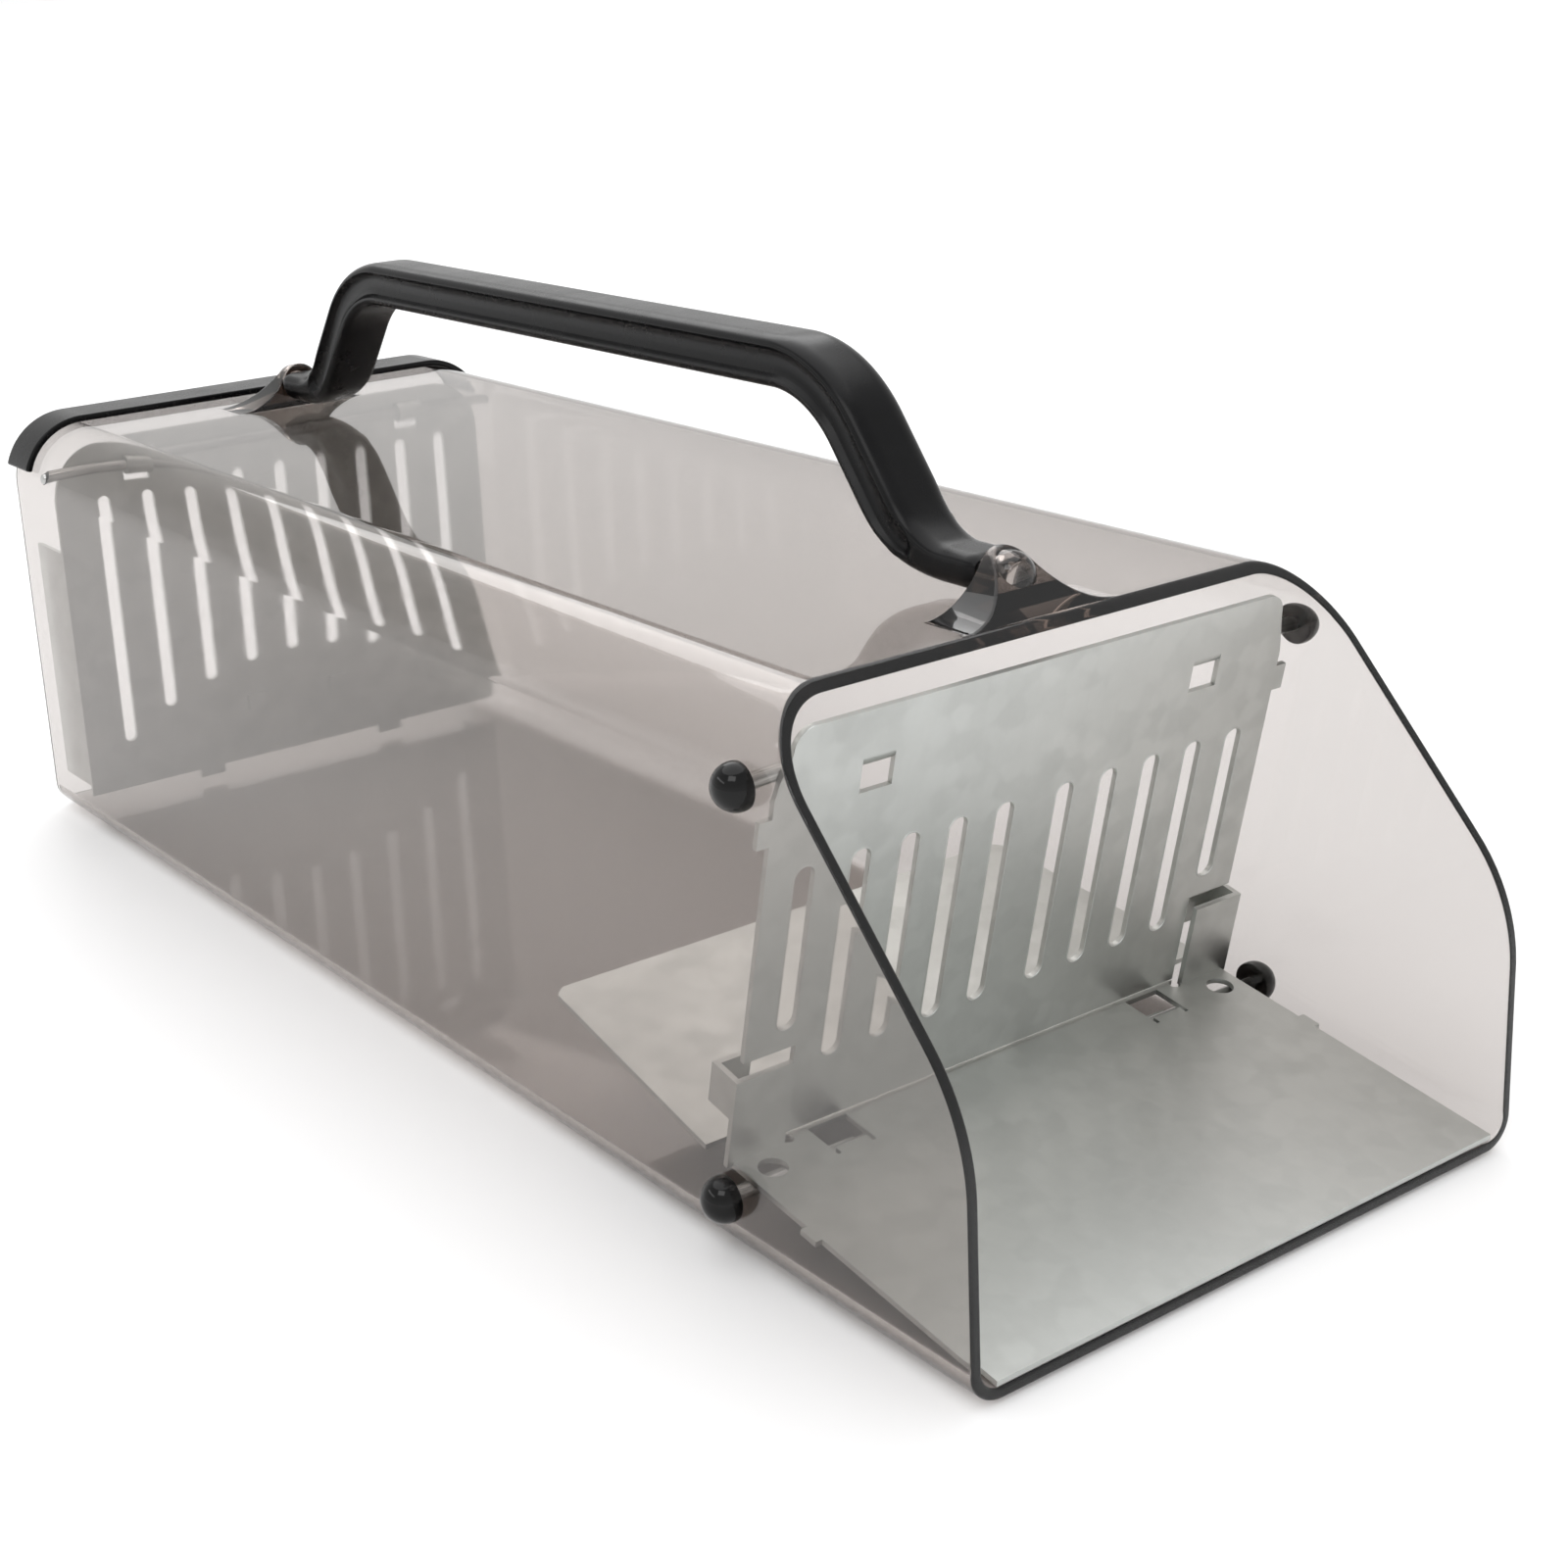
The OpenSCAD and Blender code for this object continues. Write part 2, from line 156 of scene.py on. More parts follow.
@dataclass(frozen=True)
class SmokyMouldedPlastic:
    """Injection-moulded smoky styrene: clear, slightly wavy, darker the further light travels in it."""

    tint: str = "#998577"
    density: float = 335.0  # per metre: a 1.5 mm wall lets about 60 per cent through
    ior: float = 1.5
    wave_mm: float = 46.0
    scuff_mm: float = 2.2

    def build(self) -> bpy.types.Material:
        """Builds the material.

        Returns:
            The finished material.
        """
        material, tree, out = new_material("smoky moulded plastic")
        place = add_node(tree, "ShaderNodeTexCoord").outputs["Object"]
        # long soft waves of the mould's face, which bend the highlights
        wave = add_node(tree, "ShaderNodeTexNoise", {"in:Scale": 1 / (self.wave_mm * MM), "in:Detail": 1.0},
                        {"Vector": place})
        # fine rub marks, which break up the gloss
        scuff = add_node(tree, "ShaderNodeTexNoise", {"in:Scale": 1 / (self.scuff_mm * MM), "in:Detail": 4.0,
                                                      "in:Roughness": 0.7}, {"Vector": place})
        rough = add_node(tree, "ShaderNodeMapRange", {"in:From Min": 0.35, "in:From Max": 0.75,
                                                      "in:To Min": 0.015, "in:To Max": 0.06},
                         {"Value": scuff.outputs["Fac"]})
        bump = add_node(tree, "ShaderNodeBump", {"in:Strength": 0.12, "in:Distance": 0.0006},
                        {"Height": wave.outputs["Fac"]})
        plastic = add_node(tree, "ShaderNodeBsdfPrincipled",
                           {"in:Base Color": (1, 1, 1, 1), "in:Transmission Weight": 1.0, "in:IOR": self.ior},
                           {"Roughness": rough.outputs["Result"], "Normal": bump.outputs["Normal"]})
        # lamps shine through the walls, so the metal inside is lit as it is under a clear cover
        passing = add_node(tree, "ShaderNodeBsdfTransparent", {"in:Color": (0.93, 0.93, 0.93, 1)})
        path = add_node(tree, "ShaderNodeLightPath")
        mix = add_node(tree, "ShaderNodeMixShader",
                       links={"Fac": path.outputs["Is Shadow Ray"], 1: plastic.outputs["BSDF"],
                              2: passing.outputs["BSDF"]})
        smoke = add_node(tree, "ShaderNodeVolumeAbsorption", {"in:Color": linear(self.tint),
                                                              "in:Density": self.density})
        tree.links.new(mix.outputs["Shader"], out.inputs["Surface"])
        tree.links.new(smoke.outputs["Volume"], out.inputs["Volume"])
        return material


@dataclass(frozen=True)
class GalvanisedSheet:
    """Hot-dip galvanised steel sheet: pale zinc with soft crystal patches and faint rolling lines."""

    light: str = "#cccecb"
    mid: str = "#c6c8c5"
    dark: str = "#bec0bd"
    spangle_mm: float = 3.4
    grain_mm: float = 0.5

    def build(self) -> bpy.types.Material:
        """Builds the material.

        Returns:
            The finished material.
        """
        material, tree, out = new_material("galvanised sheet steel")
        place = add_node(tree, "ShaderNodeTexCoord").outputs["Object"]
        # wavering cell borders, so that the zinc crystals don't look drawn with a ruler
        wobble = add_node(tree, "ShaderNodeTexNoise",
                          {"in:Scale": 1 / (self.spangle_mm * MM), "in:Detail": 3.0}, {"Vector": place})
        bent = add_node(tree, "ShaderNodeVectorMath", {"operation": "MULTIPLY_ADD", "in:1": (0.002,) * 3},
                        {0: wobble.outputs["Color"], 2: place})
        cell = add_node(tree, "ShaderNodeTexVoronoi", {"feature": "SMOOTH_F1", "in:Smoothness": 0.6,
                                                       "in:Scale": 1 / (self.spangle_mm * MM)},
                        {"Vector": bent.outputs["Vector"]})
        tone = add_node(tree, "ShaderNodeSeparateColor", links={"Color": cell.outputs["Color"]})
        # broad cloudy dulling of the zinc over the sheet
        cloud = add_node(tree, "ShaderNodeTexNoise",
                         {"in:Scale": 85.0, "in:Detail": 6.0, "in:Roughness": 0.68}, {"Vector": place})
        both = add_node(tree, "ShaderNodeMix", {"in:Factor": 0.62},
                        {2: tone.outputs["Red"], 3: cloud.outputs["Fac"]})
        shade = both.outputs[0]
        colour = ramp(tree, shade, [(0.22, linear(self.dark)), (0.5, linear(self.mid)),
                                    (0.8, linear(self.light))])
        # rolling lines and grit, finer than the crystals
        lined = add_node(tree, "ShaderNodeMapping", {"in:Scale": (1.0, 0.05, 0.05)}, {"Vector": place})
        grain = add_node(tree, "ShaderNodeTexNoise", {"in:Scale": 1 / (self.grain_mm * MM), "in:Detail": 2.0},
                         {"Vector": lined.outputs["Vector"]})
        rough = add_node(tree, "ShaderNodeMapRange", {"in:From Min": 0.25, "in:From Max": 0.75,
                                                      "in:To Min": 0.4, "in:To Max": 0.31}, {"Value": shade})
        gritty = add_node(tree, "ShaderNodeMath", {"operation": "MULTIPLY_ADD", "in:1": 0.07},
                          {0: grain.outputs["Fac"], 2: rough.outputs["Result"]})
        relief = add_node(tree, "ShaderNodeMath", {"operation": "MULTIPLY_ADD", "in:1": 0.25},
                          {0: grain.outputs["Fac"], 2: shade})
        bump = add_node(tree, "ShaderNodeBump", {"in:Strength": 0.15, "in:Distance": 0.00005},
                        {"Height": relief.outputs["Value"]})
        metal = add_node(tree, "ShaderNodeBsdfPrincipled", {"in:Metallic": 1.0},
                         {"Base Color": colour, "Roughness": gritty.outputs["Value"],
                          "Normal": bump.outputs["Normal"]})
        tree.links.new(metal.outputs["BSDF"], out.inputs["Surface"])
        return material


@dataclass(frozen=True)
class DrawnWire:
    """Drawn bright steel wire: fine lines along it and a soft sheen."""

    bright: str = "#c9c9c7"
    dull: str = "#9c9c9a"

    def build(self) -> bpy.types.Material:
        """Builds the material.

        Returns:
            The finished material.
        """
        material, tree, out = new_material("drawn steel wire")
        place = add_node(tree, "ShaderNodeTexCoord").outputs["Object"]
        drawn = add_node(tree, "ShaderNodeMapping", {"in:Scale": (0.04, 1.0, 1.0)}, {"Vector": place})
        lines = add_node(tree, "ShaderNodeTexNoise", {"in:Scale": 4200.0, "in:Detail": 2.0},
                         {"Vector": drawn.outputs["Vector"]})
        colour = ramp(tree, lines.outputs["Fac"], [(0.3, linear(self.dull)), (0.7, linear(self.bright))])
        rough = add_node(tree, "ShaderNodeMapRange", {"in:To Min": 0.22, "in:To Max": 0.38},
                         {"Value": lines.outputs["Fac"]})
        metal = add_node(tree, "ShaderNodeBsdfPrincipled", {"in:Metallic": 1.0},
                         {"Base Color": colour, "Roughness": rough.outputs["Result"]})
        tree.links.new(metal.outputs["BSDF"], out.inputs["Surface"])
        return material


@dataclass(frozen=True)
class MouldedBlack:
    """Injection-moulded black plastic, glossy, with a faint orange-peel surface and rub marks."""

    name: str
    base: str = "#080809"
    worn: str = "#0f0f10"
    gloss: float = 0.2
    dull: float = 0.32
    specular: float = 0.18
    peel_mm: float = 1.6

    def build(self) -> bpy.types.Material:
        """Builds the material.

        Returns:
            The finished material.
        """
        material, tree, out = new_material(self.name)
        place = add_node(tree, "ShaderNodeTexCoord").outputs["Object"]
        peel = add_node(tree, "ShaderNodeTexNoise", {"in:Scale": 1 / (self.peel_mm * MM), "in:Detail": 2.0},
                        {"Vector": place})
        rub = add_node(tree, "ShaderNodeTexNoise", {"in:Scale": 90.0, "in:Detail": 6.0, "in:Roughness": 0.7},
                       {"Vector": place})
        colour = ramp(tree, rub.outputs["Fac"], [(0.35, linear(self.base)), (0.8, linear(self.worn))])
        rough = add_node(tree, "ShaderNodeMapRange", {"in:From Min": 0.3, "in:From Max": 0.7,
                                                      "in:To Min": self.gloss, "in:To Max": self.dull},
                         {"Value": rub.outputs["Fac"]})
        bump = add_node(tree, "ShaderNodeBump", {"in:Strength": 0.25, "in:Distance": 0.00004},
                        {"Height": peel.outputs["Fac"]})
        body = add_node(tree, "ShaderNodeBsdfPrincipled",
                        {"in:IOR": 1.5, "in:Specular IOR Level": self.specular},
                        {"Base Color": colour, "Roughness": rough.outputs["Result"],
                         "Normal": bump.outputs["Normal"]})
        tree.links.new(body.outputs["BSDF"], out.inputs["Surface"])
        return material


@dataclass(frozen=True)
class PaleFloor:
    """Plain white studio floor."""

    white: str = "#fbfbfb"

    def build(self) -> bpy.types.Material:
        """Builds the material.

        Returns:
            The finished material.
        """
        material, tree, out = new_material("pale studio floor")
        matt = add_node(tree, "ShaderNodeBsdfPrincipled", {"in:Base Color": linear(self.white),
                                                           "in:Roughness": 0.55})
        tree.links.new(matt.outputs["BSDF"], out.inputs["Surface"])
        return material


def mesh_object(name: str, bm: bmesh.types.BMesh, material: bpy.types.Material) -> bpy.types.Object:
    """Turns a bmesh into an object at the origin with outward normals.

    Args:
        name: Object name.
        bm: Mesh data in metres, freed here.
        material: Material of every face.

    Returns:
        The new object.
    """
    bmesh.ops.recalc_face_normals(bm, faces=bm.faces)
    mesh = bpy.data.meshes.new(name)
    bm.to_mesh(mesh)
    bm.free()
    mesh.materials.append(material)
    obj = bpy.data.objects.new(name, mesh)
    bpy.context.scene.collection.objects.link(obj)
    return obj


def bake_modifiers(obj: bpy.types.Object) -> bpy.types.Mesh:
    """Replaces an object's mesh by its modified shape and removes the modifiers.

    Args:
        obj: Object to bake.

    Returns:
        Its new mesh.
    """
    depsgraph = bpy.context.evaluated_depsgraph_get()
    mesh = bpy.data.meshes.new_from_object(obj.evaluated_get(depsgraph))
    mesh.name = obj.name
    obj.modifiers.clear()
    old = obj.data
    obj.data = mesh
    bpy.data.meshes.remove(old)
    return mesh


def apply_modifiers(obj: bpy.types.Object, smooth_angle: float = 32.0) -> bpy.types.Object:
    """Bakes the modifiers into the mesh and shades it smooth below an angle.

    Args:
        obj: Object to finish.
        smooth_angle: Edges sharper than this, in degrees, stay sharp.

    Returns:
        The same object with a plain mesh.
    """
    mesh = bake_modifiers(obj)
    mesh.shade_smooth()
    mesh.set_sharp_from_angle(angle=math.radians(smooth_angle))
    return obj


def even_normals(obj: bpy.types.Object) -> bpy.types.Object:
    """Lets large flat faces keep their own direction next to small rounded ones.

    Args:
        obj: Object with plain smooth shading and sharp edges set.

    Returns:
        The same object with its normals stored.
    """
    mod = obj.modifiers.new("normals", "WEIGHTED_NORMAL")
    mod.mode = "FACE_AREA"
    mod.weight = FLAT_FACE_WEIGHT
    mod.keep_sharp = True
    bake_modifiers(obj)
    return obj


def bevel(obj: bpy.types.Object, width_mm: float, segments: int = 2, angle: float = 35.0) -> None:
    """Adds a bevel on edges sharper than an angle.

    Args:
        obj: Object to round.
        width_mm: Width of the rounding.
        segments: Number of strips in it.
        angle: Smallest edge angle, in degrees, that is rounded.
    """
    mod = obj.modifiers.new("rounding", "BEVEL")
    mod.width = width_mm * MM
    mod.segments = segments
    mod.limit_method = "ANGLE"
    mod.angle_limit = math.radians(angle)
    mod.use_clamp_overlap = True
    mod.harden_normals = False


def merge(obj: bpy.types.Object, other: bpy.types.Object, operation: str) -> None:
    """Joins or cuts a mesh with another and removes the other.

    Args:
        obj: Object that is changed.
        other: Object that is joined to it or cut from it.
        operation: UNION or DIFFERENCE.
    """
    mod = obj.modifiers.new("cut", "BOOLEAN")
    mod.operation = operation
    mod.solver = "EXACT"
    mod.object = other
    apply_modifiers(obj)
    bpy.data.objects.remove(other)


def ring_loft(rings: Sequence[Sequence[Vector]], closed: bool, capped: bool = True) -> bmesh.types.BMesh:
    """Joins rings of equal length with quads.

    Args:
        rings: Rings of points, each closed on itself.
        closed: True if the last ring joins the first.
        capped: True if open ends get a face.

    Returns:
        The mesh.
    """
    bm = bmesh.new()
    made = [[bm.verts.new(p) for p in ring] for ring in rings]
    count = len(made[0])
    pairs = list(zip(made, made[1:])) + ([(made[-1], made[0])] if closed else [])
    for a, b in pairs:
        for i in range(count):
            j = (i + 1) % count
            bm.faces.new((a[i], a[j], b[j], b[i]))
    if not closed and capped:
        bm.faces.new(made[0])
        bm.faces.new(list(reversed(made[-1])))
    return bm


def turned(profile: Sequence[tuple[float, float]], origin: Vector, axis: Vector,
           steps: int = 48) -> bmesh.types.BMesh:
    """Turns a profile round an axis; its first and last points lie on the axis.

    Args:
        profile: Pairs of distance along the axis and radius, in mm.
        origin: Point of the axis where the distance is zero, in metres.
        axis: Unit direction of the axis.
        steps: Number of strips round the axis.

    Returns:
        A closed mesh.
    """
    side = axis.orthogonal().normalized()
    third = axis.cross(side)
    bm = bmesh.new()
    rings = [[bm.verts.new(origin + axis * (d * MM) + (side * math.cos(a) + third * math.sin(a)) * (r * MM))
              for a in (2 * math.pi * k / steps for k in range(steps))] for d, r in profile[1:-1]]
    for a, b in zip(rings, rings[1:]):
        for i in range(steps):
            bm.faces.new((a[i], a[(i + 1) % steps], b[(i + 1) % steps], b[i]))
    for ring, (d, _) in ((rings[0], profile[0]), (rings[-1], profile[-1])):
        tip = bm.verts.new(origin + axis * (d * MM))
        for i in range(steps):
            bm.faces.new((ring[i], ring[(i + 1) % steps], tip))
    return bm


def finish_piece(obj: bpy.types.Object, body: Body, nodes: Iterable[str]) -> None:
    """Names what a piece rides on and which CAD nodes it stands for.

    Args:
        obj: The piece.
        body: Body that carries it.
        nodes: CAD nodes that it replaces.
    """
    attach(obj, body.value)
    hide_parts(*nodes)
    LOG.info("%s rides on %s, %d faces", obj.name, body.value, len(obj.data.polygons))


@dataclass
class Tube:
    """Smoky clear tube with its sloping front edge and the two handle lugs. Sizes in mm."""

    length: float = 268.0
    width: float = 95.0
    height: float = 75.0
    wall: float = 1.5
    top_r: float = 11.0
    bottom_r: float = 4.5
    sill: float = 35.0
    roof_front: float = 38.0
    bend_r: float = 24.0
    edge_r: float = 0.4
    pivot_z: float = 79.1
    lug_half_base: float = 13.0
    lug_dome_r: float = 3.7
    lug_rear: float = 46.9
    boss_r: float = 3.3
    boss_y: float = 44.4
    boss_inset: float = 0.15
    socket_r: float = 1.75
    socket_tip: float = 43.2
    lug_step: float = 0.3
    lug_edge_r: float = 0.35
    lug_root: float = 1.0
    rim_strip: float = 2.0
    mirror_y: float = 144.6

    def slope(self) -> float:
        """Run of the sloping edge for each mm of height."""
        return self.roof_front / (self.height - self.sill)

    def front_at(self, z: float) -> float:
        """Distance of the front edge from the front face at a height.

        Args:
            z: Height in mm.

        Returns:
            Distance in mm.
        """
        turn = math.atan(self.slope())
        start = self.sill - self.bend_r * math.tan(turn / 2)
        if z <= start:
            return 0.0
        if z <= start + self.bend_r * math.sin(turn):
            return self.bend_r - math.sqrt(self.bend_r ** 2 - (z - start) ** 2)
        return self.roof_front - (self.height - z) * self.slope()

    def half_outline(self) -> list[tuple[float, float, float, float]]:
        """Right half of the outline from the floor's middle to the roof's middle.

        Returns:
            Points with their outward directions.
        """
        hw = self.width / 2
        rows = [(x, 0.0, 0.0, -1.0) for x in (0.0, 14.0, 28.0, 38.0)]
        cx, cz = hw - self.bottom_r, self.bottom_r
        for i in range(17):
            r = math.radians(90 * i / 16)
            rows.append((cx + cz * math.sin(r), cz - cz * math.cos(r), math.sin(r), -math.cos(r)))
        top = self.height - self.top_r
        steps = 44
        rows += [(hw, self.bottom_r + (top - self.bottom_r) * i / steps, 1.0, 0.0)
                 for i in range(1, steps)]
        for i in range(33):
            r = math.radians(90 * i / 32)
            rows.append((hw - self.top_r + self.top_r * math.cos(r), top + self.top_r * math.sin(r),
                         math.cos(r), math.sin(r)))
        rows += [(x, self.height, 0.0, 1.0) for x in (30.0, 22.0, 14.0, 7.0, 0.0)]
        return rows

    def shell(self) -> bmesh.types.BMesh:
        """Tube wall with rounded rims, swept round the outline.

        Returns:
            A closed mesh.
        """
        right = self.half_outline()
        left = [(-x, z, -nx, nz) for x, z, nx, nz in reversed(right[1:-1])]
        arc = [(self.edge_r * (1 - math.cos(math.radians(a))), self.edge_r * (1 - math.sin(math.radians(a))))
               for a in (0, 22.5, 45, 67.5, 90)]
        inner = [(self.wall - d, y) for d, y in reversed(arc)]
        front = [(0.0, self.rim_strip)] + arc + inner + [(self.wall, self.rim_strip)]
        rings = []
        for x, z, nx, nz in right + left:
            ring = []
            for depth, dy in front:
                pz = z - nz * depth
                ring.append(world_point(x - nx * depth, self.front_at(pz) + dy, pz))
            for depth, dy in reversed(front):
                ring.append(world_point(x - nx * depth, self.length - dy, z - nz * depth))
            rings.append(ring)
        return ring_loft(rings, closed=True)

    def lug(self, rear: bool, material: bpy.types.Material) -> bpy.types.Object:
        """One handle lug: flared foot, domed top, rounded boss and blind socket.

        Args:
            rear: True for the mirrored lug at the rear.
            material: Its material.

        Returns:
            The lug as a closed object.
        """
        rise = self.pivot_z - self.height
        half, dome = self.lug_half_base, self.lug_dome_r
        flare = (half ** 2 + rise ** 2 - dome ** 2) / (2 * (rise + dome))
        touch = math.atan2(self.height + flare - self.pivot_z, half)
        side = [(half, self.height - self.lug_root)]
        side += [(half + flare * math.cos(a), self.height + 0.03 + flare + flare * math.sin(a))
                 for a in (-math.pi / 2 - (math.pi / 2 - touch) * i / 20 for i in range(20))]
        side += [(dome * math.cos(a), self.pivot_z + dome * math.sin(a))
                 for a in (touch + (math.pi / 2 - touch) * i / 12 for i in range(13))]
        outline = side + [(-x, z) for x, z in reversed(side[:-1])]

        def place(x: float, y: float, z: float) -> Vector:
            """Puts a point at the front, or mirrors it to the rear."""
            return world_point(x, 2 * self.mirror_y - y if rear else y, z)

        nose = [place(x, self.roof_front + self.lug_step + max(0.0, z - self.height) * self.slope(), z)
                for x, z in outline]
        back = [place(x, self.lug_rear, z) for x, z in outline]
        obj = mesh_object("lug", ring_loft([nose, back], closed=False), material)
        bevel(obj, self.lug_edge_r, 3, 40)
        apply_modifiers(obj)
        axis = Vector((0, -1 if rear else 1, 0))
        origin = place(0, 0, self.pivot_z)
        dome_profile = [(self.boss_y - self.boss_r * math.cos(math.radians(a)),
                         self.boss_r * math.sin(math.radians(a))) for a in range(0, 91, 9)]
        seat = self.lug_rear - self.boss_inset
        boss = mesh_object("boss", turned(dome_profile + [(seat, self.boss_r), (seat, 0.0)], origin, axis),
                           material)
        merge(obj, boss, "UNION")
        mouth = self.lug_rear + 2
        hollow = [(self.socket_tip, 0.0), (self.socket_tip, self.socket_r),
                  (mouth, self.socket_r), (mouth, 0.0)]
        socket = mesh_object("socket", turned(hollow, origin, axis), material)
        merge(obj, socket, "DIFFERENCE")
        return obj

    def build(self, material: bpy.types.Material) -> None:
        """Builds the tube and fixes it to the housing body.

        Args:
            material: Its clear plastic.
        """
        tube = mesh_object("clear_tube", self.shell(), material)
        for rear in (False, True):
            merge(tube, self.lug(rear, material), "UNION")
        finish_piece(even_normals(tube), Body.HOUSING, ["housing"])


@dataclass
class Bail:
    """Swinging carry handle with side channels and moulded pivot pins. Sizes in mm."""

    foot_y: float = 47.2
    mirror_y: float = 144.6
    pivot_z: float = 79.1
    bar_z: float = 101.9
    foot_length: float = 6.3
    leg_angle: float = 52.0
    lower_r: float = 15.0
    upper_r: float = 20.0
    half_width: float = 4.7
    half_height: float = 3.6
    foot_half_width: float = 4.2
    foot_half_height: float = 2.55
    corner_r: float = 1.25
    crown_width: float = 2.6
    crown_height: float = 1.35
    channel_half: float = 1.85
    channel_depth: float = 1.0
    channel_from: float = 12.0
    channel_ease: float = 3.2
    channel_lip: float = 0.35
    ease_from: float = 6.0
    ease_length: float = 16.0
    foot_corner_x: float = 3.2
    foot_corner_z: float = 2.5
    end_sizes: tuple[float, float] = (0.86, 0.95)
    pin_r: float = 1.7
    pin_tip: float = 43.6
    pin_chamfer: float = 0.3
    pin_root: float = 1.5

    def centre_line(self) -> list[tuple[float, float, float, float]]:
        """Front half of the centre line.

        Returns:
            Distance along it, y, z and heading in radians.
        """
        turn = math.radians(self.leg_angle)
        start = self.foot_y + self.foot_length
        rise = self.bar_z - self.pivot_z - (self.lower_r + self.upper_r) * (1 - math.cos(turn))
        run = rise / math.sin(turn)
        bar = start + (self.lower_r + self.upper_r) * math.sin(turn) + run * math.cos(turn)
        rows = [(self.foot_y + 0.35 * i, self.pivot_z, 0.0) for i in range(0, 18, 2)]
        rows += [(start + self.lower_r * math.sin(a), self.pivot_z + self.lower_r * (1 - math.cos(a)), a)
                 for a in (turn * i / 20 for i in range(21))]
        y0 = start + self.lower_r * math.sin(turn)
        z0 = self.pivot_z + self.lower_r * (1 - math.cos(turn))
        rows += [(y0 + run * math.cos(turn) * i / 8, z0 + rise * i / 8, turn) for i in range(1, 8)]
        rows += [(bar - self.upper_r * math.sin(a), self.bar_z - self.upper_r * (1 - math.cos(a)), a)
                 for a in (turn * (1 - i / 24) for i in range(25))]
        rows += [(bar + (self.mirror_y - bar) * i / 16, self.bar_z, 0.0) for i in range(1, 17)]
        out, along = [], 0.0
        for i, (y, z, a) in enumerate(rows):
            if i:
                along += math.dist((y, z), rows[i - 1][:2])
            out.append((along, y, z, a))
        return out

    def section(self, along: float) -> list[tuple[float, float]]:
        """Cross-section at a distance along the handle.

        Args:
            along: Distance from the foot's end.

        Returns:
            Points across and up, anticlockwise.
        """
        ease = min(1.0, max(0.0, (along - self.ease_from) / self.ease_length))
        ease = ease * ease * (3 - 2 * ease)
        h = self.foot_half_height + (self.half_height - self.foot_half_height) * ease
        w = self.foot_half_width + (self.half_width - self.foot_half_width) * ease
        rx = self.foot_corner_x + (self.corner_r - self.foot_corner_x) * ease
        rz = min(h, self.foot_corner_z + (self.corner_r - self.foot_corner_z) * ease)
        reach = min(1.0, max(0.0, (along - self.channel_from) / self.channel_ease))
        round_end = math.sqrt(1 - (1 - reach) ** 2)
        ch = max(0.05, self.channel_half * round_end)
        cd = self.channel_depth * min(1.0, reach * 2.2)
        right = [(w - rx + rx * math.sin(a), -h + rz - rz * math.cos(a))
                 for a in (math.pi / 2 * i / 6 for i in range(7))]
        lip = self.channel_lip * round_end
        right += [(w, -ch - lip), (w - cd * 0.25, -ch - lip * 0.35), (w - cd * 0.8, -ch + lip * 0.5),
                  (w - cd, -ch + lip * 1.2), (w - cd, 0.0), (w - cd, ch - lip * 1.2),
                  (w - cd * 0.8, ch - lip * 0.5), (w - cd * 0.25, ch + lip * 0.35), (w, ch + lip)]
        right += [(w - self.crown_width * (1 - math.cos(a)), h - self.crown_height * (1 - math.sin(a)))
                  for a in (math.pi / 2 * i / 8 for i in range(9))]
        return right + [(-x, z) for x, z in reversed(right)]

    def build(self, material: bpy.types.Material) -> None:
        """Builds the handle and hangs it on its body.

        Args:
            material: Its black plastic.
        """
        rings, half = [], self.centre_line()
        sizes = list(self.end_sizes) + [1.0] * (len(half) - len(self.end_sizes))
        for size, (along, y, z, a) in zip(sizes, half):
            rings.append([world_point(x * size, y - v * size * math.sin(a), z + v * size * math.cos(a))
                          for x, v in self.section(along)])
        for size, (along, y, z, a) in reversed(list(zip(sizes, half[:-1]))):
            rings.append([world_point(x * size, 2 * self.mirror_y - y + v * size * math.sin(a),
                                      z + v * size * math.cos(a)) for x, v in self.section(along)])
        bail = mesh_object("bail", ring_loft(rings, closed=False), material)
        for rear in (False, True):
            axis = Vector((0, -1 if rear else 1, 0))
            origin = world_point(0, 2 * self.mirror_y if rear else 0, self.pivot_z)
            root = self.foot_y + self.pin_root
            pin_profile = [(self.pin_tip, 0.0), (self.pin_tip, self.pin_r - self.pin_chamfer),
                           (self.pin_tip + self.pin_chamfer, self.pin_r), (root, self.pin_r), (root, 0.0)]
            pin = mesh_object("pin", turned(pin_profile, origin, axis), material)
            merge(bail, pin, "UNION")
        finish_piece(apply_modifiers(bail, 40), Body.HANDLE, ["handle"])


@dataclass
class PressedSheet:
    """A part stamped and folded from sheet steel, its cut edges slightly rounded."""

    node: str
    name: str
    body: Body
    edge_mm: float = 0.13
    weld_mm: float = 0.005
    flat_degrees: float = 0.6

    def build(self, material: bpy.types.Material) -> None:
        """Copies the part's shape, rounds its edges and dresses it.

        Args:
            material: Its zinc.
        """
        bm = bmesh.new()
        bm.from_mesh(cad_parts[self.node].data)
        bmesh.ops.remove_doubles(bm, verts=bm.verts, dist=self.weld_mm * MM)
        bmesh.ops.dissolve_limit(bm, angle_limit=math.radians(self.flat_degrees),
                                 verts=bm.verts, edges=bm.edges)
        piece = mesh_object(self.name, bm, material)
        bevel(piece, self.edge_mm, 2, 40)
        finish_piece(even_normals(apply_modifiers(piece, 30)), self.body, [self.node])


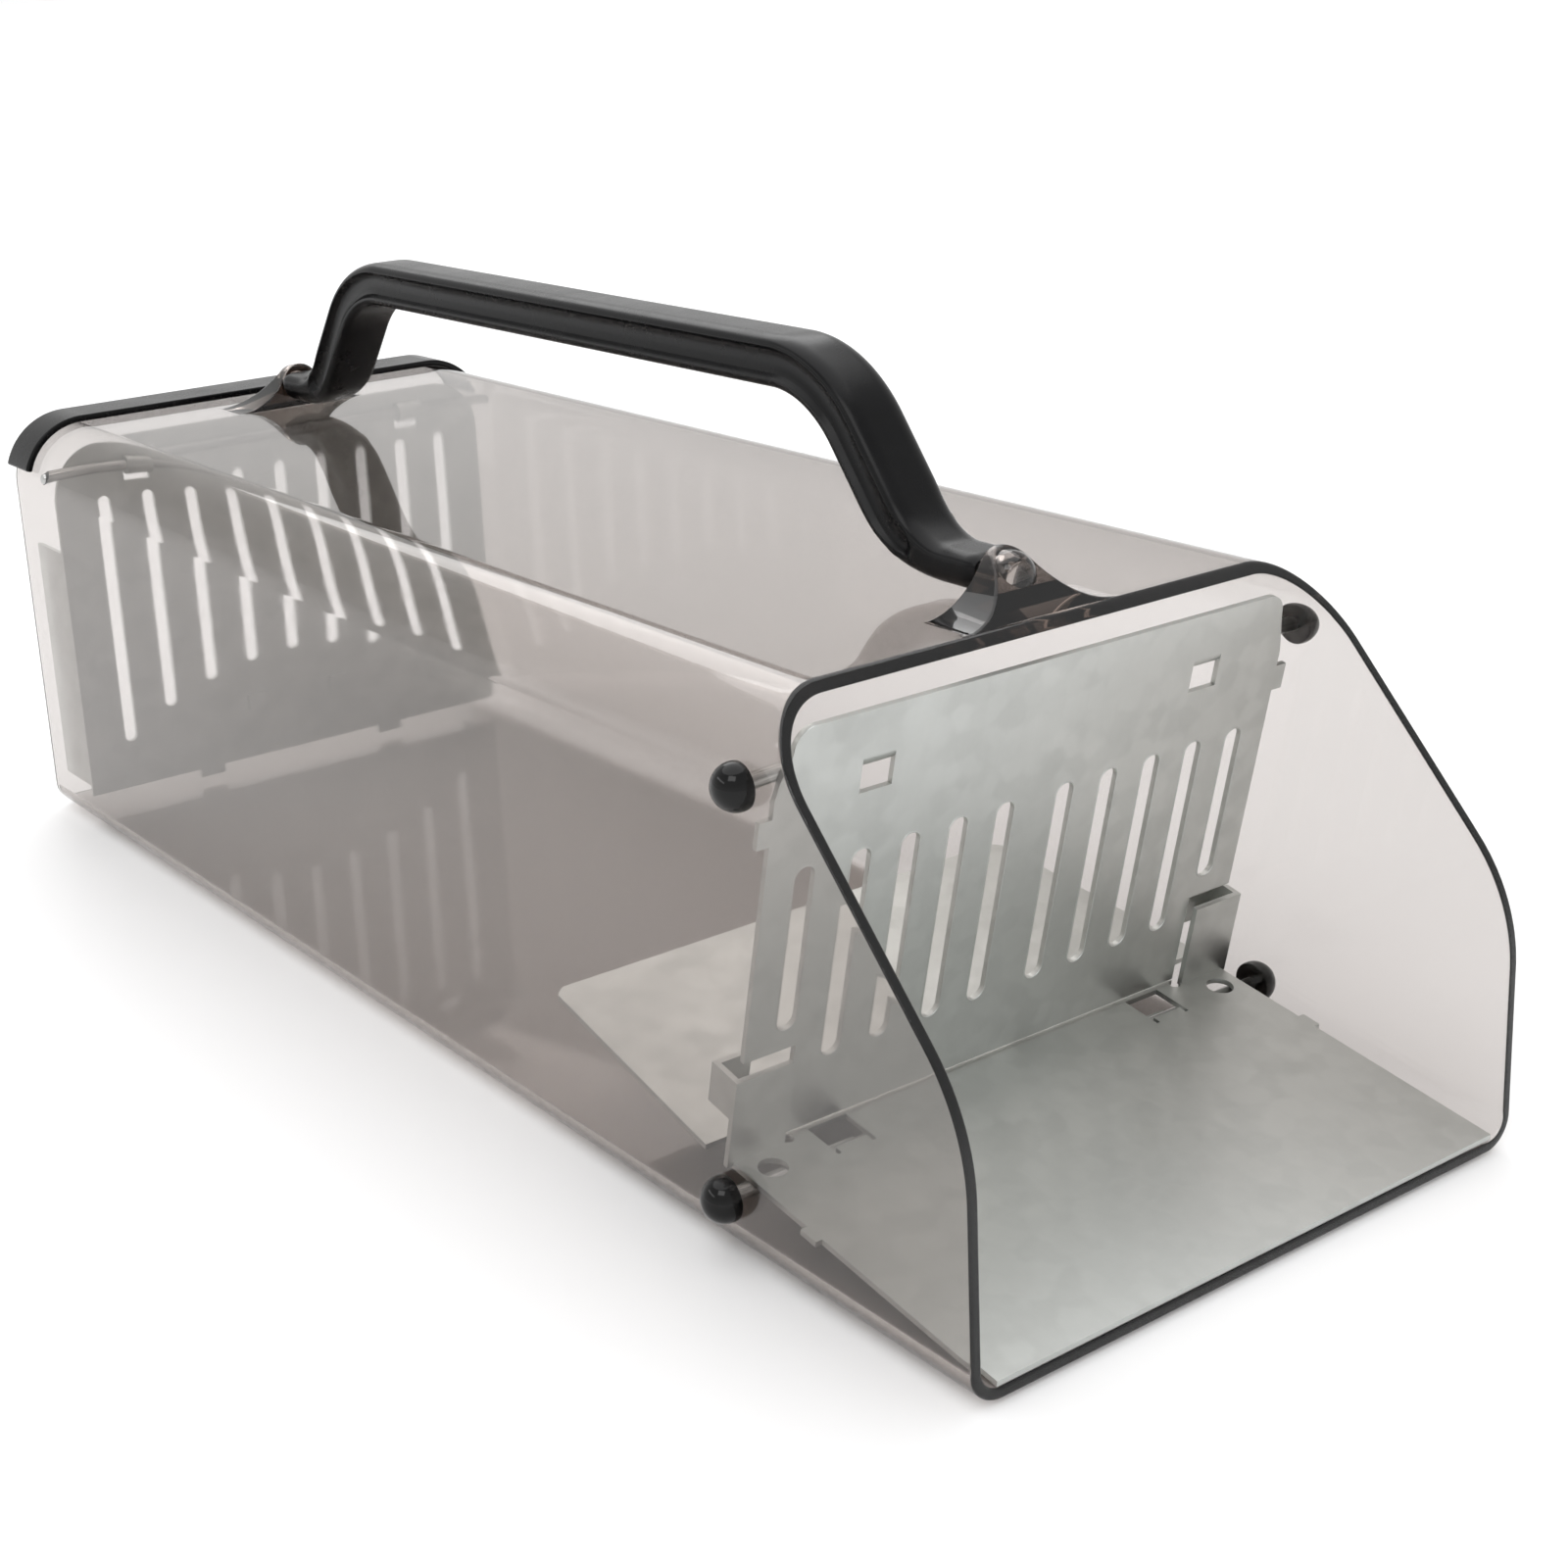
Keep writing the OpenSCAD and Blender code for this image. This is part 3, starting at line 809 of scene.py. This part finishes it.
@dataclass
class SlotEdges:
    """Fine raised edges that the punch leaves round a row of door slots. Sizes in mm."""

    name: str
    columns: Sequence[float]
    top: float = -13.2
    end: float = -44.0
    width: float = 3.1
    edge_r: float = 0.15
    face: float = -1.79
    lean: float = 13.5
    axle_y: float = 38.7
    axle_z: float = 64.3

    def tree(self) -> bpy.types.NodeTree:
        """Makes the node group that lays one rounded edge round every point.

        Returns:
            The node group.
        """
        tree = bpy.data.node_groups.new("slot edges", "GeometryNodeTree")
        for name, kind in (("Points", "Geometry"), ("Slot Width", "Float"), ("Slot Length", "Float"),
                           ("Corner Radius", "Float"), ("Edge Radius", "Float"), ("Lean", "Float"),
                           ("Place", "Vector"), ("Material", "Material")):
            tree.interface.new_socket(name, in_out="INPUT", socket_type=f"NodeSocket{kind}")
        tree.interface.new_socket("Edges", in_out="OUTPUT", socket_type="NodeSocketGeometry")
        given = add_node(tree, "NodeGroupInput").outputs
        box = add_node(tree, "GeometryNodeCurvePrimitiveQuadrilateral", links={
            "Width": given["Slot Width"], "Height": given["Slot Length"]})
        slot = add_node(tree, "GeometryNodeFilletCurve", {"mode": "POLY", "in:Count": 10}, {
            "Curve": box.outputs["Curve"], "Radius": given["Corner Radius"]})
        wire = add_node(tree, "GeometryNodeCurvePrimitiveCircle", {"in:Resolution": 8}, {
            "Radius": given["Edge Radius"]})
        edge = add_node(tree, "GeometryNodeCurveToMesh", links={
            "Curve": slot.outputs["Curve"], "Profile Curve": wire.outputs["Curve"]})
        row = add_node(tree, "GeometryNodeInstanceOnPoints", {"in:Rotation": (math.pi / 2, 0, 0)}, {
            "Points": given["Points"], "Instance": edge.outputs["Mesh"]})
        turn = add_node(tree, "ShaderNodeCombineXYZ", links={"X": given["Lean"]})
        set_in = add_node(tree, "GeometryNodeTransform", links={
            "Geometry": row.outputs["Instances"], "Rotation": turn.outputs["Vector"],
            "Translation": given["Place"]})
        real = add_node(tree, "GeometryNodeRealizeInstances", links={"Geometry": set_in.outputs["Geometry"]})
        dressed = add_node(tree, "GeometryNodeSetMaterial", links={
            "Geometry": real.outputs["Geometry"], "Material": given["Material"]})
        add_node(tree, "NodeGroupOutput", links={"Edges": dressed.outputs["Geometry"]})
        return tree

    def build(self, material: bpy.types.Material) -> None:
        """Lays the edges out and fixes them to the front door.

        Args:
            material: The door's zinc.
        """
        bm = bmesh.new()
        for x in self.columns:
            bm.verts.new(Vector((x, self.face, (self.top + self.end) / 2)) * MM)
        mesh = bpy.data.meshes.new(self.name)
        bm.to_mesh(mesh)
        bm.free()
        edges = bpy.data.objects.new(self.name, mesh)
        bpy.context.scene.collection.objects.link(edges)
        width = self.width + self.edge_r
        values = {"Slot Width": width * MM, "Slot Length": (self.top - self.end + self.edge_r) * MM,
                  "Corner Radius": width * 0.498 * MM, "Edge Radius": self.edge_r * MM,
                  "Lean": math.radians(self.lean), "Place": world_point(0, self.axle_y, self.axle_z),
                  "Material": material}
        mod = edges.modifiers.new("slot edges", "NODES")
        mod.node_group = self.tree()
        for item in mod.node_group.interface.items_tree:
            if item.name in values:
                mod[item.identifier] = values[item.name]
        finish_piece(apply_modifiers(edges, 60), Body.FRONT_DOOR, ["front_door"])


@dataclass
class Axle:
    """Wire across the tube with a domed cap on each end. Sizes in mm."""

    name: str
    y: float
    z: float
    node: str
    caps: Sequence[str] = ()
    wire_r: float = 1.0
    half_length: float = 48.9
    cap_r: float = 3.1
    cap_seat: float = 47.55
    cap_centre: float = 48.3
    chamfer: float = 0.25

    def build(self, wire: bpy.types.Material, black: bpy.types.Material) -> None:
        """Builds the wire and its caps.

        Args:
            wire: Steel of the wire.
            black: Plastic of the caps.
        """
        half, r, cut = self.half_length, self.wire_r, self.chamfer
        rod = turned([(-half, 0.0), (-half, r - cut), (-half + cut, r), (half - cut, r), (half, r - cut),
                      (half, 0.0)], world_point(0, self.y, self.z), Vector((1, 0, 0)), 32)
        piece = apply_modifiers(mesh_object(self.name, rod, wire), 50)
        finish_piece(piece, Body.HOUSING, [self.node])
        for node in self.caps:
            sign = -1 if node.endswith("left") else 1
            low = math.asin((self.cap_seat - self.cap_centre) / self.cap_r)
            dome = [(self.cap_centre + self.cap_r * math.sin(a), self.cap_r * math.cos(a))
                    for a in (low + (math.pi / 2 - low) * i / 16 for i in range(1, 17))]
            rim = self.cap_r * math.cos(low)
            profile = [(self.cap_seat + 0.02, 0.0), (self.cap_seat, rim - 0.35), (self.cap_seat + 0.12, rim)]
            cap = mesh_object(node.replace("axle_", ""), turned(profile + dome[:-1] + [(dome[-1][0], 0.0)],
                              world_point(0, self.y, self.z), Vector((sign, 0, 0))), black)
            finish_piece(apply_modifiers(cap, 50), Body.HOUSING, [node])


@dataclass
class RearRail:
    """Black trim clipped over the rear edge of the roof. Sizes in mm."""

    front: float = 259.5
    rear: float = 269.2
    thick: float = 1.3
    gap: float = 0.05
    inner: float = 1.5
    face: float = 268.05
    low: float = 67.5
    round_mm: float = 0.35

    def build(self, tube: Tube, material: bpy.types.Material) -> None:
        """Sweeps the rail's L section round the top of the tube.

        Args:
            tube: The tube that it sits on.
            material: Its black plastic.
        """
        corner = (tube.top_r + self.thick, tube.top_r)
        hw, top = tube.width / 2, tube.height - tube.top_r
        first = math.degrees(math.asin((self.low - top) / corner[0]))
        path = [(hw - tube.top_r, top, math.radians(first + (90 - first) * i / 24)) for i in range(25)]
        path += [(x, top, math.pi / 2) for x in (24.0, 12.0, 0.0, -12.0, -24.0)]
        path += [(tube.top_r - hw, top, math.radians(90 + (90 - first) * i / 24)) for i in range(25)]
        section = [(self.front, self.thick), (self.rear, self.thick), (self.rear, -self.inner),
                   (self.face, -self.inner), (self.face, self.gap), (self.front, self.gap)]
        rings = [[world_point(cx + (tube.top_r + off) * math.cos(a), y, cz + (tube.top_r + off) * math.sin(a))
                  for y, off in section] for cx, cz, a in path]
        rail = mesh_object("rear_rail", ring_loft(rings, closed=False), material)
        bevel(rail, self.round_mm, 3, 45)
        finish_piece(even_normals(apply_modifiers(rail, 40)), Body.HOUSING, ["rear_top_rail"])


@dataclass
class Studio:
    """Floor, light and camera. Its eye point is in mm from the front face, the floor's sizes in m."""

    eye: Point = (-204.02, -181.73, 161.64)
    azimuth: float = -36.56
    pitch: float = 16.93
    roll: float = -2.42
    lens: float = 56.854
    shift: float = -0.08
    floor_half: float = 6.0
    floor_drop: float = 0.0004

    def camera(self) -> None:
        """Makes the camera."""
        a, e, r = (math.radians(v) for v in (self.azimuth, self.pitch, self.roll))
        ahead = Vector((-math.sin(a) * math.cos(e), math.cos(a) * math.cos(e), -math.sin(e)))
        right = ahead.cross(Vector((0, 0, 1))).normalized()
        up = right.cross(ahead)
        right, up = right * math.cos(r) + up * math.sin(r), up * math.cos(r) - right * math.sin(r)
        data = bpy.data.cameras.new("camera")
        data.lens, data.sensor_width, data.shift_y = self.lens, 36.0, self.shift
        data.clip_start, data.clip_end = 0.01, 50.0
        cam = bpy.data.objects.new("camera", data)
        bpy.context.scene.collection.objects.link(cam)
        turn = Matrix((right, up, -ahead)).transposed()
        cam.matrix_world = Matrix.Translation(world_point(*self.eye)) @ turn.to_4x4()
        bpy.context.scene.camera = cam

    def lamp(self, name: str, at: Point, size: tuple[float, float], power: float) -> None:
        """Adds a rectangular lamp that faces the trap's middle.

        Args:
            name: Name of the lamp.
            at: Its place in metres.
            size: Its sides in metres.
            power: Its power in watts.
        """
        data = bpy.data.lights.new(name, "AREA")
        data.shape = "RECTANGLE"
        data.size, data.size_y = size
        data.energy = power
        lamp = bpy.data.objects.new(name, data)
        bpy.context.scene.collection.objects.link(lamp)
        lamp.location = at
        lamp.rotation_mode = "QUATERNION"
        lamp.rotation_quaternion = (Vector(at) - Vector((0, 0, 0.04))).to_track_quat("Z", "Y")

    def sun(self, strength: float, width: float) -> None:
        """Adds a very wide sun, which lights the floor evenly as far as it is seen.

        Args:
            strength: Its strength.
            width: Its apparent width in degrees.
        """
        data = bpy.data.lights.new("sun", "SUN")
        data.energy, data.angle = strength, math.radians(width)
        sun = bpy.data.objects.new("sun", data)
        bpy.context.scene.collection.objects.link(sun)
        sun.location = (0.2, 0.6, 2.0)
        sun.rotation_mode = "QUATERNION"
        sun.rotation_quaternion = Vector((0.1, 0.3, 1.0)).to_track_quat("Z", "Y")

    def build(self) -> None:
        """Makes the floor, the world, the lamps and the camera."""
        bm = bmesh.new()
        bmesh.ops.create_grid(bm, x_segments=4, y_segments=4, size=self.floor_half)
        floor = mesh_object("floor", bm, PaleFloor().build())
        floor.data.transform(Matrix.Translation((0, 0, -self.floor_drop)))
        world = bpy.data.worlds.new("studio")
        world.use_nodes = True
        tree = world.node_tree
        tree.nodes.clear()
        way = add_node(tree, "ShaderNodeTexCoord").outputs["Generated"]
        up = add_node(tree, "ShaderNodeSeparateXYZ", links={"Vector": way}).outputs["Z"]
        sky = ramp(tree, up, [(0.0, linear("#ffffff")), (0.1, linear("#fcfcfc")), (0.32, linear("#e8e8e7")),
                              (1.0, linear("#d6d6d8"))])
        back = add_node(tree, "ShaderNodeBackground", {"in:Strength": 1.0}, {"Color": sky})
        out = add_node(tree, "ShaderNodeOutputWorld")
        tree.links.new(back.outputs["Background"], out.inputs["Surface"])
        bpy.context.scene.world = world
        self.lamp("key", (-0.7, -0.5, 1.1), (0.7, 0.5), 3.0)
        self.lamp("strip", (-1.1, 0.5, 0.7), (1.2, 0.12), 1.2)
        self.lamp("back", (0.6, 1.1, 0.9), (0.9, 0.5), 2.5)
        self.sun(1.25, 70.0)
        self.camera()
        bpy.context.scene.view_settings.view_transform = "Standard"


def main() -> None:
    """Builds the trap's pieces in order and reports each one."""
    logging.basicConfig(level=logging.INFO, format="%(message)s")
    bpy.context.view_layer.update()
    zinc = GalvanisedSheet().build()
    wire = DrawnWire().build()
    black = MouldedBlack("moulded black plastic").build()
    cap_black = MouldedBlack("glossy black cap", "#040404", "#0a0a0a", 0.06, 0.14, 0.28).build()
    tube = Tube()
    tube.build(SmokyMouldedPlastic().build())
    Bail().build(black)
    RearRail().build(tube, black)
    PressedSheet("front_door", "door_sheet", Body.FRONT_DOOR).build(zinc)
    columns = [SLOT_FIRST + SLOT_PITCH * i for i in range(5)]
    SlotEdges("door_slot_edges", [s * x for x in columns[:4] for s in (-1, 1)]).build(zinc)
    SlotEdges("door_outer_slot_edges", [-columns[4], columns[4]], end=OUTER_SLOT_END).build(zinc)
    PressedSheet("treadle", "treadle_sheet", Body.TREADLE).build(zinc)
    PressedSheet("rear_door", "rear_door_sheet", Body.REAR_DOOR).build(zinc)
    Axle("door_wire", 38.7, 64.3, "door_axle",
         ("door_axle_cap_left", "door_axle_cap_right")).build(wire, cap_black)
    Axle("treadle_wire", 45.4, 8.0, "treadle_axle",
         ("treadle_axle_cap_left", "treadle_axle_cap_right")).build(wire, cap_black)
    Axle("rear_wire", 254.0, 66.7, "rear_axle", half_length=47.5).build(wire, cap_black)
    Studio().build()


if __name__ == "__main__":
    main()
